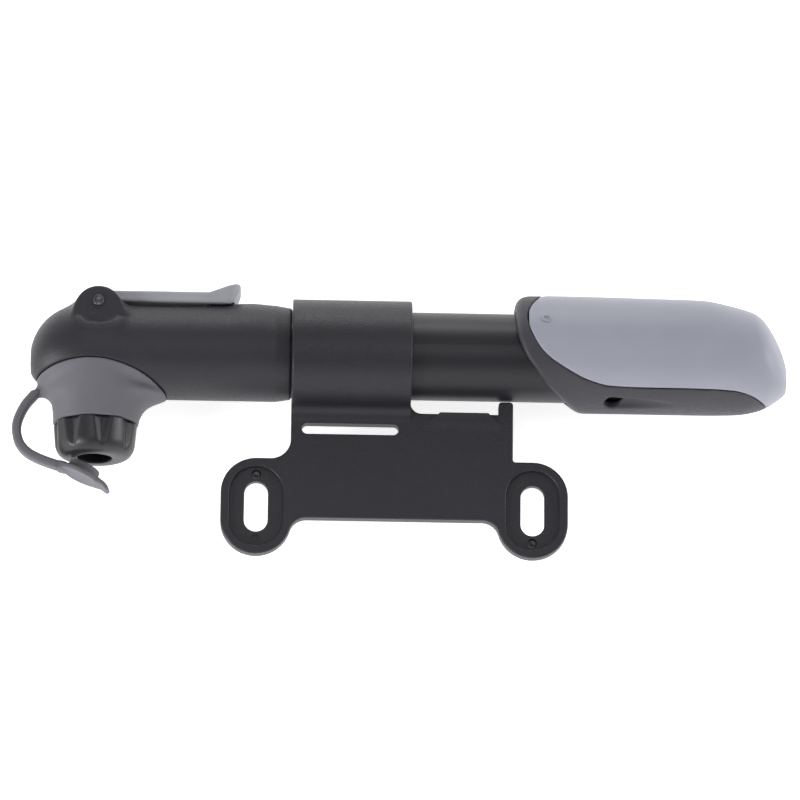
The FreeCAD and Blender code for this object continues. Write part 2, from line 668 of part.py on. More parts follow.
def dust_cap():
    """Plug on a disc, with a short pull tab; built level and then tilted."""
    plug = rod_down(3.7, 0, 1.7)
    plug = plug.makeFillet(0.4, edges_at(plug, lambda e: abs(e.CenterOfMass.y) < 1e-6))
    disc = rod_down(5.1, 1.6, 2.8)
    tab = prism_z([(4.0, -1.6), (6.3, -1.9), (8.0, -3.1), (7.4, -3.3), (4.0, -2.8)], STRAP_W / 2)
    ear = block(-5.9, -4.0, -2.8, -1.6, -STRAP_W / 2, STRAP_W / 2)
    body = fuse(plug, disc, tab, ear)
    body.rotate(V(0, 0, 0), AZ, -CAP_TILT)
    body.translate(CAP_TOP)
    return body


PARTS = [
    bracket, head_housing, nozzle_shroud, nozzle_stem, stem_o_ring, valve_collar, valve_grommet, plunger,
    plunger_o_rings, grommet_washer, lock_lever, lever_pin, check_valve_seat, check_valve_disc,
    check_valve_spring, barrel_tube, barrel_gasket, barrel_end_bush, rod_o_ring, piston_rod, piston_head,
    piston_cup_seal, piston_screw, piston_bumper, rod_end_washer, rod_end_screw, handle_shell, handle_cover,
    handle_guide_ring, cap_strap, dust_cap,
]

for make in PARTS:
    shape = make()
    shape.translate(ORIGIN * -1)
    shape.exportStep("parts/" + make.__name__ + ".step")
    box = shape.BoundBox
    print("%-20s solids %d valid %s volume %8.1f  x %.2f..%.2f y %.2f..%.2f z %.2f..%.2f" % (
        make.__name__, len(shape.Solids), shape.isValid(), shape.Volume,
        box.XMin, box.XMax, box.YMin, box.YMax, box.ZMin, box.ZMax))
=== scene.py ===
import json
import math

import bmesh
import bpy
import numpy as np
from mathutils import Matrix, Vector


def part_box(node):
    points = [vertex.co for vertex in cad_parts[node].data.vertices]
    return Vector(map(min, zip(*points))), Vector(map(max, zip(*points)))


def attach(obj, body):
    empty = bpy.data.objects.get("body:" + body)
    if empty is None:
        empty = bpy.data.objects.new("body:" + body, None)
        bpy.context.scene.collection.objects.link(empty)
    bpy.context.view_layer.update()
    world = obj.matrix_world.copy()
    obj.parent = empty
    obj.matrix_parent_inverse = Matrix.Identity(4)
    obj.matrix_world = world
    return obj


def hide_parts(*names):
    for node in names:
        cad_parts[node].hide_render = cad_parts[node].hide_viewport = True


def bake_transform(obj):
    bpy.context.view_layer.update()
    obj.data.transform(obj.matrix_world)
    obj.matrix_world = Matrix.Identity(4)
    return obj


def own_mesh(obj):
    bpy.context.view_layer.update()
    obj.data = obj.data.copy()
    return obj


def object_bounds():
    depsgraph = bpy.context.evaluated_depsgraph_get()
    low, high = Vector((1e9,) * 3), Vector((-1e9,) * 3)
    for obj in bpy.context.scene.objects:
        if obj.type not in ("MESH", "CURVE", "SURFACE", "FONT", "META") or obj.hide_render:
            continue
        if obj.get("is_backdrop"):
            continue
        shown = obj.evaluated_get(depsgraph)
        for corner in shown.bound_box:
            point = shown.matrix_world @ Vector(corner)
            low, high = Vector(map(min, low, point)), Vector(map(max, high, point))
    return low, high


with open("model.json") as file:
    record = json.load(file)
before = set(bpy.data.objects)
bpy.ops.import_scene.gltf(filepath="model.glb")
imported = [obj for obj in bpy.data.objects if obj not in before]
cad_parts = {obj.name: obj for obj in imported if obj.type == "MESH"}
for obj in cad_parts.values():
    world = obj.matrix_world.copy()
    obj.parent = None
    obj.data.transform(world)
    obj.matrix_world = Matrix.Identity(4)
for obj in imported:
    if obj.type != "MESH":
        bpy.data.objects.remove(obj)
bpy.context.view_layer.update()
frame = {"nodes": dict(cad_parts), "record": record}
nodes = frame["nodes"]
MM = 0.001


def srgb(r, g, b):
    """Linear colour from 0-255 display values."""
    out = []
    for c in (r, g, b):
        c /= 255
        out.append(c / 12.92 if c <= 0.04045 else ((c + 0.055) / 1.055) ** 2.4)
    return (*out, 1.0)


# ---- materials ----
class Mat:
    """A node material with small helpers for noise, ramps and bump."""

    def __init__(self, name, rough, metallic=0.0, specular=0.5):
        self.mat = bpy.data.materials.new(name)
        self.mat.use_nodes = True
        self.tree = self.mat.node_tree
        self.bsdf = self.tree.nodes["Principled BSDF"]
        self.bsdf.inputs["Roughness"].default_value = rough
        self.bsdf.inputs["Metallic"].default_value = metallic
        self.bsdf.inputs["Specular IOR Level"].default_value = specular
        self.coord = self.tree.nodes.new("ShaderNodeTexCoord").outputs["Object"]

    def node(self, kind, **values):
        n = self.tree.nodes.new(kind)
        for k, v in values.items():
            n.inputs[k].default_value = v
        return n

    def link(self, a, b):
        self.tree.links.new(a, b)

    def noise(self, scale, detail=2.0, roughness=0.5, stretch=(1, 1, 1)):
        """Noise with features about 1/scale metres across."""
        mapping = self.node("ShaderNodeMapping", Scale=stretch)
        self.link(self.coord, mapping.inputs["Vector"])
        n = self.node("ShaderNodeTexNoise", Scale=scale, Detail=detail, Roughness=roughness)
        self.link(mapping.outputs["Vector"], n.inputs["Vector"])
        return n.outputs["Fac"]

    def ramp(self, fac, stops):
        r = self.tree.nodes.new("ShaderNodeValToRGB")
        self.link(fac, r.inputs["Fac"])
        while len(r.color_ramp.elements) < len(stops):
            r.color_ramp.elements.new(0.5)
        for e, (pos, value) in zip(r.color_ramp.elements, stops):
            e.position = pos
            e.color = value if isinstance(value, tuple) else (value, value, value, 1.0)
        return r.outputs["Color"]

    def mix(self, a, b, fac):
        m = self.tree.nodes.new("ShaderNodeMix")
        m.data_type = "RGBA"
        for value, socket in ((fac, m.inputs["Factor"]), (a, m.inputs[6]), (b, m.inputs[7])):
            if isinstance(value, (int, float, tuple)):
                socket.default_value = value
            else:
                self.link(value, socket)
        return m.outputs[2]

    def color(self, value):
        self.link(value, self.bsdf.inputs["Base Color"])

    def rough(self, value):
        self.link(value, self.bsdf.inputs["Roughness"])

    def bump(self, height, strength, distance):
        b = self.node("ShaderNodeBump", Strength=strength, Distance=distance)
        self.link(height, b.inputs["Height"])
        previous = self.bsdf.inputs["Normal"]
        if previous.links:
            self.link(previous.links[0].from_socket, b.inputs["Normal"])
        self.link(b.outputs["Normal"], previous)


def shade(tone, share):
    """A colour made darker or lighter by a factor."""
    return tuple(c * share for c in tone[:3]) + (1.0,)


def moulded(name, tone, rough, grain, grain_depth, mottle=0.08):
    """Injection-moulded plastic or rubber: even colour, fine spark grain, faint mottling."""
    m = Mat(name, rough)
    base = m.ramp(m.noise(90, 3.0), ((0.3, shade(tone, 1 - mottle)), (0.7, shade(tone, 1 + mottle))))
    speck = m.ramp(m.noise(grain * 1.7, 1.0), ((0.55, 0.0), (0.8, 0.6)))
    m.color(m.mix(base, shade(tone, 1 + 2.5 * mottle), speck))
    m.rough(m.ramp(m.noise(grain * 0.8, 2.0), ((0.25, rough - 0.07), (0.75, rough + 0.07))))
    m.bump(m.noise(grain, 2.0, 0.6), 0.6, grain_depth)
    return m.mat


def metal(name, tone, rough, stretch):
    """Metal with fine scratches; stretch draws them out along the axes where it is small."""
    m = Mat(name, rough, metallic=1.0)
    scratch = m.noise(900, 4.0, 0.7, stretch)
    m.color(m.ramp(scratch, ((0.3, shade(tone, 0.8)), (0.7, tone))))
    m.rough(m.ramp(scratch, ((0.3, rough - 0.06), (0.7, rough + 0.1))))
    m.bump(scratch, 0.25, 0.00002)
    return m.mat


MATERIALS = {
    "bracket": moulded("bracket_plastic", srgb(29, 27, 34), 0.45, 2300, 0.00012),
    "housing": moulded("housing_plastic", srgb(31, 30, 37), 0.48, 2300, 0.00012),
    "barrel": moulded("barrel_plastic", srgb(22, 20, 27), 0.42, 3400, 0.00003),
    "boot_rubber": moulded("boot_rubber", srgb(99, 98, 104), 0.65, 3000, 0.00004),
    "collar": moulded("collar_plastic", srgb(32, 31, 36), 0.4, 3400, 0.00003),
    "lever": moulded("lever_plastic", srgb(150, 150, 157), 0.4, 3000, 0.00003),
    "handle_shell": moulded("shell_plastic", srgb(52, 51, 58), 0.55, 1700, 0.00016),
    "handle_cover": moulded("cover_rubber", srgb(148, 150, 162), 0.45, 3200, 0.00002, mottle=0.03),
    "inner_plastic": moulded("inner_plastic", srgb(60, 60, 64), 0.45, 2600, 0.00003),
    "black_rubber": moulded("black_rubber", srgb(38, 38, 38), 0.6, 3000, 0.00003),
    "steel": metal("pin_steel", srgb(104, 104, 107), 0.34, (1, 1, 1)),
    "rod_metal": metal("rod_aluminium", srgb(200, 200, 204), 0.3, (0.05, 1, 1)),
}
# Painted shade: near-black glossy plastic standing in for the shadow inside the bracket's recessed ejector
# marks.
EJECTOR_SHADE = moulded("ejector_shade_plastic", srgb(14, 14, 16), 0.25, 3000, 0.00001)

for sub in frame["record"]["subparts"]:
    data = nodes[sub["node"]].data
    data.materials.clear()
    data.materials.append(MATERIALS[sub["material_slot"]])


# ---- places ----
# Shapes are in millimetres. x runs along the barrel from the nozzle's axis, y across it with the nozzle
# along -y, z towards the bracket's front.
barrel_low, barrel_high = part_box("barrel_tube")
collar_low, collar_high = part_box("valve_collar")
ORIGIN = Vector(((collar_low[0] + collar_high[0]) / 2,
                 (barrel_low[1] + barrel_high[1]) / 2,
                 (barrel_low[2] + barrel_high[2]) / 2))


def reach(node):
    """A node's lowest and highest corners, in millimetres from ORIGIN."""
    low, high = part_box(node)
    return (Vector(low) - ORIGIN) / MM, (Vector(high) - ORIGIN) / MM


# ---- distance fields ----
# Each gives about the distance to a solid's surface, negative inside it.
def union(*fields):
    d = fields[0]
    for other in fields[1:]:
        d = np.minimum(d, other)
    return d


def blend_min(a, b, k):
    """Union with a hollow fillet about k wide."""
    h = np.clip(0.5 + 0.5 * (b - a) / k, 0, 1)
    return b * (1 - h) + a * h - k * h * (1 - h)


def blend_max(a, b, k):
    """Intersection with an edge rounded over about k."""
    return -blend_min(-a, -b, k)


def rod_z(x, y, z, r, cx, cy, half, soft=0.4):
    return blend_max(np.hypot(x - cx, y - cy) - r, np.abs(z) - half, soft)


def rod_down(x, y, z, r, d0, d1, soft=0.2):
    """Cylinder on the nozzle's axis between two distances below the barrel's axis."""
    return blend_max(np.hypot(x, z) - r, np.abs(y + (d0 + d1) / 2) - (d1 - d0) / 2, soft)


def rod_x(x, y, z, r, x0, x1, soft=0.2):
    """Cylinder on the barrel's axis."""
    return blend_max(np.hypot(y, z) - r, np.abs(x - (x0 + x1) / 2) - (x1 - x0) / 2, soft)


def box(x, y, z, low, high):
    dx = np.abs(x - (low[0] + high[0]) / 2) - (high[0] - low[0]) / 2
    dy = np.abs(y - (low[1] + high[1]) / 2) - (high[1] - low[1]) / 2
    dz = np.abs(z - (low[2] + high[2]) / 2) - (high[2] - low[2]) / 2
    return np.maximum(np.maximum(dx, dy), dz)


def capsule(x, y, z, a, b, r):
    """Rounded rod between two points."""
    ab = np.subtract(b, a)
    t = ((x - a[0]) * ab[0] + (y - a[1]) * ab[1] + (z - a[2]) * ab[2]) / ab.dot(ab)
    t = np.clip(t, 0, 1)
    dx, dy, dz = x - a[0] - t * ab[0], y - a[1] - t * ab[1], z - a[2] - t * ab[2]
    return np.sqrt(dx ** 2 + dy ** 2 + dz ** 2) - r


def smooth_curve(points, steps=8):
    """Points on a curve that passes through the given points."""
    pts = np.array(points, float)
    ext = np.vstack([2 * pts[0] - pts[1], pts, 2 * pts[-1] - pts[-2]])
    out = []
    for i in range(1, len(ext) - 2):
        p0, p1, p2, p3 = ext[i - 1:i + 3]
        for t in np.arange(steps) / steps:
            out.append(0.5 * (2 * p1 + (p2 - p0) * t + (2 * p0 - 5 * p1 + 4 * p2 - p3) * t ** 2
                              + (3 * p1 - p0 - 3 * p2 + p3) * t ** 3))
    out.append(pts[-1])
    return np.array(out)


def smooth_through(x, stations, values):
    """Value at x of a smooth curve through (station, value) pairs."""
    line = smooth_curve(np.column_stack([stations, values]), 12)
    return np.interp(x, line[:, 0], line[:, 1])


def to_line(x, y, starts, ends):
    """Distance in the xy plane to the nearest of some straight runs."""
    best = np.full(np.broadcast(x, y).shape, 1e9)
    for (ax, ay), (bx, by) in zip(starts, ends):
        ex, ey = bx - ax, by - ay
        t = np.clip(((x - ax) * ex + (y - ay) * ey) / (ex * ex + ey * ey), 0, 1)
        best = np.minimum(best, (x - ax - t * ex) ** 2 + (y - ay - t * ey) ** 2)
    return np.sqrt(best)


def polygon(x, y, points):
    """Distance in the xy plane to a closed outline, negative inside it."""
    pts = np.array(points, float)
    following = np.roll(pts, -1, axis=0)
    distance = to_line(x, y, pts, following)
    inside = np.zeros(distance.shape, bool)
    for (ax, ay), (bx, by) in zip(pts, following):
        if ay != by:
            inside ^= ((ay > y) != (by > y)) & (x < ax + (y - ay) * (bx - ax) / (by - ay))
    return distance * np.where(inside, -1, 1)


# ---- meshes ----
def net(field, low, high, step):
    """Quads over the zero surface of a field: one vertex in each grid cell that the surface crosses."""
    axes = [np.arange(lo - 2 * step, hi + 3 * step, step) for lo, hi in zip(low, high)]
    x, y, z = np.meshgrid(*axes, indexing="ij", sparse=True)
    value = np.broadcast_to(field(x, y, z), [len(a) for a in axes])
    shape = [n - 1 for n in value.shape]
    total = int(np.prod(shape))
    count = np.zeros(total)
    sums = np.zeros((3, total))
    quads = []
    for axis in range(3):
        u, v = (axis + 1) % 3, (axis + 2) % 3
        near = np.take(value, range(shape[axis]), axis=axis)
        far = np.take(value, range(1, shape[axis] + 1), axis=axis)
        edge = np.argwhere((near < 0) != (far < 0))
        a, b = near[tuple(edge.T)], far[tuple(edge.T)]
        point = edge.astype(float)
        point[:, axis] += a / (a - b)
        ring = []
        for du, dv in ((1, 1), (0, 1), (0, 0), (1, 0)):
            cell = edge.copy()
            cell[:, u] -= du
            cell[:, v] -= dv
            flat = np.ravel_multi_index(cell.T, shape)
            count += np.bincount(flat, minlength=total)
            for k in range(3):
                sums[k] += np.bincount(flat, weights=point[:, k], minlength=total)
            ring.append(flat)
        ring = np.column_stack(ring)
        quads.append(np.where((a < 0)[:, None], ring, ring[:, ::-1]))
    used, faces = np.unique(np.vstack(quads), return_inverse=True)
    points = (sums[:, used] / count[used]).T * step + [a[0] for a in axes]
    return points, faces.reshape(-1, 4)


def settle(points, faces, field, step, rounds=3):
    """Evens the vertices out and drops them onto the field's zero surface."""
    probe = 0.02
    start = faces.ravel()
    end = np.roll(faces, -1, axis=1).ravel()
    links = np.bincount(start, minlength=len(points))[:, None]
    for _ in range(rounds):
        mean = np.column_stack([np.bincount(start, points[end, k], len(points)) for k in range(3)]) / links
        points = points + 0.5 * (mean - points)
        for _ in range(2):
            here = field(*points.T)
            slope = np.empty_like(points)
            for k in range(3):
                shift = np.zeros(3)
                shift[k] = probe
                slope[:, k] = (field(*(points + shift).T) - field(*(points - shift).T)) / (2 * probe)
            steepness = np.maximum((slope ** 2).sum(axis=1), 0.05)
            move = np.clip(here / steepness, -step, step)
            points = points - move[:, None] * slope
    return points


def skin(rings, closed=False):
    """Points and quads of a surface over rings of points; closed joins the last ring to the first."""
    count = len(rings[0])
    faces = []
    for row in range(len(rings) if closed else len(rings) - 1):
        here, there = row * count, (row + 1) % len(rings) * count
        for i in range(count):
            j = (i + 1) % count
            faces.append((here + i, there + i, there + j, here + j))
    return np.array([p for ring in rings for p in ring]), faces


def full_turn(count):
    """Cosine and sine at even steps round a circle."""
    angles = [2 * math.pi * i / count for i in range(count)]
    return [(math.cos(a), math.sin(a)) for a in angles]


def new_object(name, points, faces, body, slot, replaced=()):
    """Mesh object from points in millimetres, riding on a body if one is given."""
    mesh = bpy.data.meshes.new(name)
    metres = points * MM + np.array(ORIGIN)
    mesh.from_pydata(metres.tolist(), [], [list(f) for f in faces])
    mesh.polygons.foreach_set("use_smooth", [True] * len(mesh.polygons))
    mesh.materials.append(MATERIALS[slot])
    obj = bpy.data.objects.new(name, mesh)
    bpy.context.scene.collection.objects.link(obj)
    if body:
        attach(obj, body)
    if replaced:
        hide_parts(*replaced)
    return obj


def solid(name, form, node, step, body, slot, ahead=0.0):
    """Piece that replaces a CAD node: the surface of a field, cut to the node's own box.

    ahead is how far past that box, towards the nozzle, the piece may reach.
    """
    low, high = reach(node)
    low.x -= ahead

    def field(x, y, z):
        return np.maximum(form(x, y, z), box(x, y, z, low, high))

    points, faces = net(field, low, high, step)
    points = settle(points, faces, field, step)
    return new_object(name, points, faces.tolist(), body, slot, (node,))


def weld(obj):
    """Merges vertices that share a place."""
    bm = bmesh.new()
    bm.from_mesh(obj.data)
    bmesh.ops.remove_doubles(bm, verts=bm.verts, dist=1e-6)
    bmesh.ops.recalc_face_normals(bm, faces=bm.faces)
    bm.to_mesh(obj.data)
    bm.free()


# ---- head ----
HEAD_R = 11.2
HEAD_END = 45.1
SWELL = 0.4                    # the top of the barrel's socket stands out this far
SWELL_X = 35.5
SWELL_HALF = 7.0
SWELL_FADE = 16.0
RIM_X = 41.5                   # from here the socket narrows to its end
RIM_SLOPE = 0.16
DOME_LENGTH = 15.7
DOME_MIDDLE = -3.6
DOME_POWER = 2.3
BOSS = (0.3, 7.4)              # ears that carry the lever's pin
BOSS_R = 5.5
BOSS_HALF = 10.3
FACET_HALF = 10.1              # round flat about the pin's end
PIN = (0.3, 9.2)
PIN_HOLE_R = 1.38
SEAM_CENTRE = (-1.5, -31.5)    # curved joint between the housing and the boot
SEAM_R = 27.0
SEAM_GAP = 0.07
POCKET_R = 4.7
POCKET_HALF = 6.75
FLAT_Y = 9.1                   # flat on the housing under the lever
FLAT_X = (4.0, 26.0)
# Radius and the two ends: below the barrel's axis, then along it.
BORES_DOWN = ((3.1, -9.2, 0), (5.65, -1.5, 22), (7.05, 2.5, 22))
BORES_ALONG = ((2.2, 0, 22), (8.05, 20, 30), (9.6, 26.5, 60))


def head_form(x, y, z):
    """Cylinder along the barrel with a blunt dome beyond the nozzle's axis."""
    rise = SWELL * np.cos(np.clip((x - SWELL_X) / SWELL_HALF, -1, 1) * math.pi / 2) ** 2
    rise = rise * np.clip(0.5 + y / SWELL_FADE, 0, 1)
    fall = RIM_SLOPE * np.maximum(x - RIM_X, 0)
    body = blend_max(np.hypot(y, z) - HEAD_R - rise + fall, x - HEAD_END, 0.4)
    back = np.clip(-x / DOME_LENGTH, 0, 0.9999)
    share = (1 - back ** DOME_POWER) ** (1 / DOME_POWER)
    r = np.hypot(y - DOME_MIDDLE * (1 - share), z) / HEAD_R
    out = np.maximum(-x / DOME_LENGTH, 0)
    dome = ((out ** DOME_POWER + r ** DOME_POWER) ** (1 / DOME_POWER) - 1) * HEAD_R
    return np.where(x < 0, dome, body)


def below_seam(x, y):
    return np.hypot(x - SEAM_CENTRE[0], y - SEAM_CENTRE[1]) - SEAM_R


def lever_pocket(x, y, z):
    """Room for the lever's hub between the ears, open at the top, and the flat that it folds onto."""
    well = rod_z(x, y, z, POCKET_R, *PIN, POCKET_HALF, 0.1)
    way_out = box(x, y, z, (PIN[0] - POCKET_R, PIN[1], -POCKET_HALF), (PIN[0] + POCKET_R, 20, POCKET_HALF))
    past_ends = np.abs(x - sum(FLAT_X) / 2) - (FLAT_X[1] - FLAT_X[0]) / 2
    flat = blend_max(FLAT_Y - y, np.maximum(past_ends, np.abs(z) - POCKET_HALF), 0.8)
    return union(well, way_out, flat)


def head_bores(x, y, z):
    down = [rod_down(x, y, z, *bore) for bore in BORES_DOWN]
    along = [rod_x(x, y, z, *bore) for bore in BORES_ALONG]
    return union(*down, *along)


def housing(x, y, z):
    """Head with two flat-faced ears; the flats fade into its round sides."""
    boss = rod_z(x, y, z, BOSS_R, *BOSS, BOSS_HALF, 0.6)
    d = blend_min(head_form(x, y, z), boss, 3.4)
    front = np.maximum(np.sqrt(np.maximum(HEAD_R ** 2 - y ** 2, 0)) + 0.5, BOSS_HALF)
    front = front + 0.4 * np.maximum(np.abs(x - BOSS[0]) - 8, 0)
    d = blend_max(d, np.abs(z) - front, 1.0)
    facet = np.maximum(np.hypot(x - PIN[0], y - PIN[1]) - BOSS_R, FACET_HALF - np.abs(z))
    d = blend_max(d, -facet, 0.5)
    d = blend_max(d, -lever_pocket(x, y, z), 0.35)
    d = blend_max(d, SEAM_GAP - below_seam(x, y), 0.35)
    return np.maximum(d, -head_bores(x, y, z))


STRAP_ROOT = ((-10.5, -8.6, 0), (-14.6, -11.3, 0))
STRAP_HALF = 1.6               # half the strap's width
BOOT_END = 18.0                # how far below the barrel's axis the boot ends
BOOT_DOWN = (3.0, 6.0, 9.0, 10.5, 11.3, 12.0, 13.0, 14.3, 16.1, 18.0)
BOOT_LEFT = (11.0, 11.5, 12.0, 12.1, 11.8, 11.1, 10.4, 10.1, 9.9, 9.8)
BOOT_RIGHT = (12.0, 13.0, 15.0, 16.6, 16.3, 14.6, 12.7, 11.3, 10.3, 9.85)
BOOT_DEPTH = (10.1, 10.1, 10.05, 10.0, 9.97, 9.95, 9.93, 9.9, 9.85, 9.8)
BOOT_HOLLOWS = ((8.75, 9.0, 24), (9.3, 7.0, 9.0), (7.05, -4, 8))


def shroud(x, y, z):
    """Rubber boot: flush with the housing at the seam, hollowing down to a round rim."""
    side = x ** 2 / (x ** 2 + z ** 2 + 0.01)
    right = smooth_through(-y, BOOT_DOWN, BOOT_RIGHT)
    left = smooth_through(-y, BOOT_DOWN, BOOT_LEFT)
    depth = smooth_through(-y, BOOT_DOWN, BOOT_DEPTH)
    neck = 0.75 * (np.hypot(x, z) - depth - (np.where(x > 0, right, left) - depth) * side ** 2.4)
    d = blend_min(head_form(x, y, z), neck, 0.9)
    root = blend_max(capsule(x, y, z, *STRAP_ROOT, 1.0), np.abs(z) - STRAP_HALF, 0.3)
    d = blend_min(d, root, 2.2)
    d = blend_max(d, below_seam(x, y) + SEAM_GAP, 0.35)
    hollow = union(*[rod_down(x, y, z, *part) for part in BOOT_HOLLOWS])
    return np.maximum(np.maximum(d, -hollow), -y - BOOT_END)


COLLAR_R = 9.7
COLLAR_TAPER = 0.094
COLLAR_DOWN = (18.1, 26.1)     # below the barrel's axis
COLLAR_SKIRT = (8.6, 12.0, 18.6)
COLLAR_THREAD = (7.45, 5, 23.6)
VALVE_HOLE = (4.0, 20, 30)
FLUTES = 8
FLUTE_TURN = math.radians(12)
FLUTE_R = 8.75
FLUTE_DOWN = 17.5
FLUTE_LENGTH = 8.0


def collar(x, y, z):
    """Fluted nut with a round mouth; the flutes narrow and run out towards it."""
    r = np.hypot(x, z)
    taper = r - COLLAR_R + (-y - COLLAR_DOWN[0]) * COLLAR_TAPER
    d = blend_max(taper, -y - COLLAR_DOWN[1], 3.4)
    d = blend_max(d, y + COLLAR_DOWN[0], 0.3)
    turn = 2 * math.pi / FLUTES
    angle = np.arctan2(x, z) - FLUTE_TURN
    angle = (angle + turn / 2) % turn - turn / 2
    across = np.abs(r * np.sin(angle))
    down = np.clip((-y - FLUTE_DOWN) / FLUTE_LENGTH, 0, 1.2)
    bottom = FLUTE_R - 0.25 * down
    flute = blend_max(across - (r - bottom) * 1.25 - 0.85 * (1 - down) - 0.05, bottom - r, 0.7)
    d = blend_max(d, -flute * 0.7, 0.5)
    d = union(d, rod_down(x, y, z, *COLLAR_SKIRT))
    d = blend_max(d, -rod_down(x, y, z, *VALVE_HOLE), 0.4)
    return np.maximum(d, -rod_down(x, y, z, *COLLAR_THREAD))


LEVER_HALF = 6.6
LEVER_TIP_X = 33.3
LEVER_SIDE = ((-2.3, 9.2), (-2.3, 11.5), (-0.9, 12.9), (25.8, 12.9), (32.4, 15.45), (33.0, 15.5),
              (LEVER_TIP_X, 14.9), (31.0, 10.2), (0.3, 10.2), (0.3, 9.2))
LEVER_CORNER = 3.6             # rounding of the tip's corners, seen from above
LEVER_HUB_R = 2.88
LEVER_LOBE_R = 4.38
CAM_LIFT = 1.5                 # the lobe's centre stands this far off the pin


def lever(x, y, z):
    """Thumb lever with a turned-up tip, hollowed underneath to lie on the round head."""
    tip_x = np.maximum(x - LEVER_TIP_X + LEVER_CORNER, 0)
    tip_z = np.maximum(np.abs(z) - LEVER_HALF + LEVER_CORNER, 0)
    plan = np.hypot(tip_x, tip_z) - LEVER_CORNER
    d = blend_max(polygon(x, y, LEVER_SIDE), plan, 0.7)
    d = np.maximum(d, -rod_x(x, y, z, HEAD_R + 0.2, 25.5, 50))
    d = np.maximum(d, -rod_x(x, y, z, HEAD_R + 0.55, 28.5, 50))
    hub = rod_z(x, y, z, LEVER_HUB_R, *PIN, LEVER_HALF)
    lobe = rod_z(x, y, z, LEVER_LOBE_R, PIN[0], PIN[1] + CAM_LIFT, LEVER_HALF)
    lobe = np.maximum(np.maximum(lobe, x - PIN[0]), y - PIN[1] - CAM_LIFT)
    return np.maximum(union(d, hub, lobe), -rod_z(x, y, z, PIN_HOLE_R, *PIN, 20))


PIN_END = ((0.0, 10.4), (0.93, 10.4), (1.04, 10.48), (1.18, 10.5), (1.28, 10.42), (1.3, 10.0))


def pin():
    """Steel pin with slightly dished, rounded ends."""
    profile = [*PIN_END, *((r, -h) for r, h in reversed(PIN_END))]
    rings = [[(PIN[0] + r * c, PIN[1] + r * s, h) for c, s in full_turn(48)] for r, h in profile]
    weld(new_object("pin", *skin(rings), "pump", "steel", ("lever_pin",)))


SPRING_X = (20.35, 21.95)
SPRING_R = (2.0, 2.6)
SPRING_WIRE = 0.2
SPRING_TURNS = 3


def valve_spring():
    """Cone coil of round wire behind the check valve's disc."""
    wire = full_turn(8)
    rows = SPRING_TURNS * 28 + 1
    rings = []
    for share in (i / (rows - 1) for i in range(rows)):
        angle = 2 * math.pi * SPRING_TURNS * share
        x = SPRING_X[0] + (SPRING_X[1] - SPRING_X[0]) * share
        r = SPRING_R[0] + (SPRING_R[1] - SPRING_R[0]) * share
        ring = []
        for c, s in wire:
            out = r + SPRING_WIRE * c
            ring.append((x + SPRING_WIRE * s, out * math.cos(angle), out * math.sin(angle)))
        rings.append(ring)
    points, faces = skin(rings)
    last = len(points) - 1
    faces.append(tuple(range(len(wire))))
    faces.append(tuple(last - j for j in range(len(wire))))
    obj = new_object("valve_spring", points, faces, "pump", "steel", ("check_valve_spring",))
    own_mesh(obj)


# ---- handle ----
GRIP_TILT = math.radians(16.0)
GRIP_X = (80.0, 98.0, 112.0, 128.0, 140.0, 145.0, 150.5, 155.0, 158.5, 163.0)
GRIP_TOP = (14.7, 14.7, 14.7, 14.5, 14.3, 13.6, 12.25, 10.7, 9.3, 7.6)
GRIP_LOW = (12.7, 12.7, 12.7, 12.7, 12.7, 12.65, 12.35, 11.2, 9.0, 5.5)
END_POINT = (160.8, -2.7)
END_SLOPE = (0.908, 0.419)
END_R = 17.0
COVER_T = 1.5
COVER_SEAM = smooth_curve([(105.2, 15.4), (102.4, 14.0), (100.4, 12.0), (99.7, 9.4), (100.5, 6.0),
                           (103.7, 1.2), (109.2, -2.6), (114.8, -5.2), (121.6, -6.3), (142.5, -6.5),
                           (150.5, -7.4), (155.9, -10.4), (158.5, -13.5)], 5)
COVER_AREA = np.vstack([COVER_SEAM, [(175, -14), (175, 30), (105.2, 30)]])
MOUTH = smooth_curve([(96.95, 9.6), (97.4, 5.4), (99.3, 0.8), (101.5, -2.4), (104.4, -6.1), (108.8, -10.0),
                      (112.4, -13.0), (116.0, -16.0)], 5)
MOUTH_AREA = np.vstack([MOUTH, [(116, -30), (60, -30), (60, 30), (96.95, 30)]])
SHELL_INSET = 0.1              # the shell lies this far inside the grip's form
BARREL_ROOM = (10.6, 70, 152.0)
SCREW_ROOM = (5.4, 154.45, 170)
ROD_NECK_ROOM = (2.65, 150, 158)
VENT_R = 2.1
VENT_MIDDLE = (119.8, 0.9, 0)
VENT_OUT = 13.5                # from the grip's middle to its skin
VENT_TURN = math.radians(71)   # from the front towards the nozzle's side
GROOVE_DEPTH = 0.4             # the groove's round bottom starts this far outside the vent's seat
GROOVE_RISE = math.radians(7)
GROOVE_LENGTH = 20


def tilted(y, z):
    """Height and depth measured in the grip's own upright plane."""
    c, s = math.cos(GRIP_TILT), math.sin(GRIP_TILT)
    return y * c + z * s, z * c - y * s


def grip_form(x, y, z):
    """Round sections that drift off the barrel's axis, cut by a slanted, gently domed end."""
    top = smooth_through(x, GRIP_X, GRIP_TOP)
    low = smooth_through(x, GRIP_X, GRIP_LOW)
    step = 0.05
    r = (top + low) / 2
    ahead = (smooth_through(x + step, GRIP_X, GRIP_TOP) + smooth_through(x + step, GRIP_X, GRIP_LOW)) / 2
    slope = (ahead - r) / step
    d = (np.hypot(y - (top - low) / 2, z) - r) / np.sqrt(1 + slope ** 2)
    up, out = tilted(y, z)
    end = (x - END_POINT[0]) * END_SLOPE[0] + (up - END_POINT[1]) * END_SLOPE[1] + out ** 2 / (2 * END_R)
    end = end + ((up - 3.8) ** 2 - 42) / 46
    return blend_max(d, end, 1.4)


